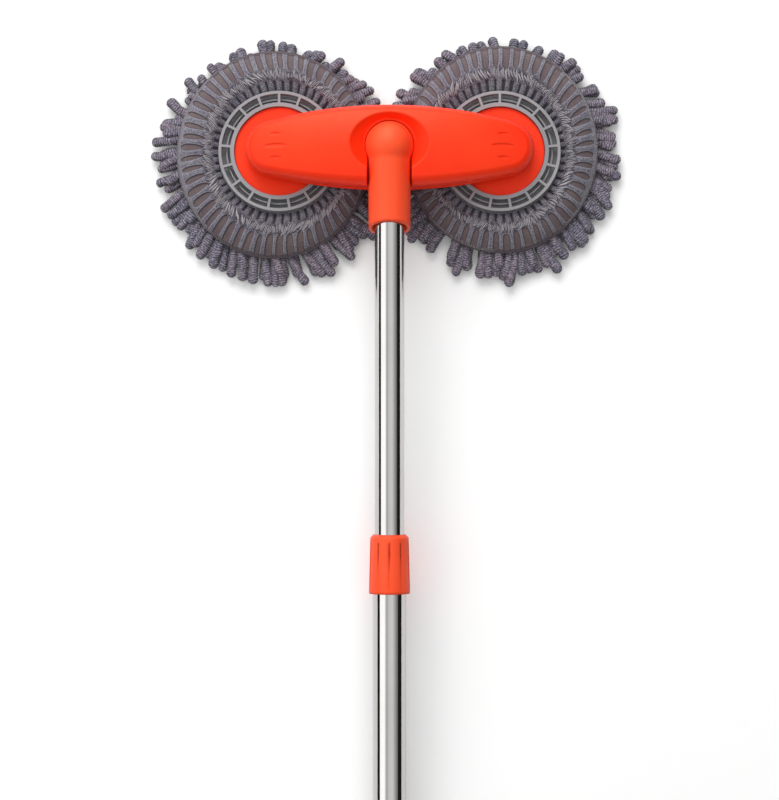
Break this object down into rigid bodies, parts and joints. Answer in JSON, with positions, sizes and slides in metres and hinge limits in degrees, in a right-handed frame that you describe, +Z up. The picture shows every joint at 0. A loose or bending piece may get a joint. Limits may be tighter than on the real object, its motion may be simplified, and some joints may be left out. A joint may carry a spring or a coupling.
{
  "type": "car wash mop",
  "caption": "Car wash mop with turning chenille heads under a boat-shaped orange arm, a tilting neck and a chromed telescopic pole with a fluted twist lock.",
  "frame": {"origin": "middle of the underside of the whole mop's bounding box, with the fingers and the end of the grip on the floor", "axes": "+X along the arm from the left head to the right head, -Y along the pole towards its grip, +Z up from the floor"},
  "size_m": [0.3592, 0.9306, 0.0648],
  "materials": {
    "orange_plastic": "smooth, half gloss",
    "grey_plastic": "satin",
    "natural_plastic": "satin",
    "chrome_tube": "polished",
    "screw_steel": "zinc plated",
    "knitted_cloth": "knitted strips with stitched bands",
    "chenille": "short-piled chenille"
  },
  "bodies": {
    "arm": {"arm_upper_shell": "orange_plastic", "arm_lower_cover": "orange_plastic", "cover_screws": "screw_steel", "spindle_screws": "screw_steel", "neck_hinge_pin": "screw_steel"},
    "left_head": {"left_turntable": "orange_plastic", "left_mop_ring": "grey_plastic", "left_clamp_ring": "grey_plastic", "left_cloth_cover": "knitted_cloth", "left_pile": "chenille", "left_fringe": "chenille"},
    "right_head": {"right_turntable": "orange_plastic", "right_mop_ring": "grey_plastic", "right_clamp_ring": "grey_plastic", "right_cloth_cover": "knitted_cloth", "right_pile": "chenille", "right_fringe": "chenille"},
    "neck": {"neck_barrel": "orange_plastic", "tube_pin": "screw_steel", "inner_tube": "chrome_tube", "inner_tube_plug": "natural_plastic"},
    "pole": {"outer_tube": "chrome_tube", "lock_collet": "natural_plastic", "end_grip": "orange_plastic"},
    "collar": {"lock_collar": "orange_plastic"}
  },
  "joints": [
    {"name": "left_spin", "type": "hinge", "parent": "arm", "child": "left_head", "pos_m": [-0.08114, 0.36706, 0.02], "axis": [0, 0, 1], "continuous": true, "deforming": ["left_fringe", "right_fringe"]},
    {"name": "right_spin", "type": "hinge", "parent": "arm", "child": "right_head", "pos_m": [0.08446, 0.36706, 0.02], "axis": [0, 0, 1], "continuous": true, "deforming": ["right_fringe", "left_fringe"]},
    {"name": "neck_tilt", "type": "hinge", "parent": "arm", "child": "neck", "pos_m": [0.00166, 0.36706, 0.0466], "axis": [-1, 0, 0], "range_deg": [-3, 90]},
    {"name": "pole_slide", "type": "slide", "parent": "neck", "child": "pole", "axis": [0, -0.9992, -0.0398], "range_m": [-0.215, 0.16]},
    {"name": "collar_twist", "type": "hinge", "parent": "pole", "child": "collar", "pos_m": [0.00166, 0.0605, 0.03438], "axis": [0, -0.9992, -0.0398], "range_deg": [0, 90]}
  ]
}
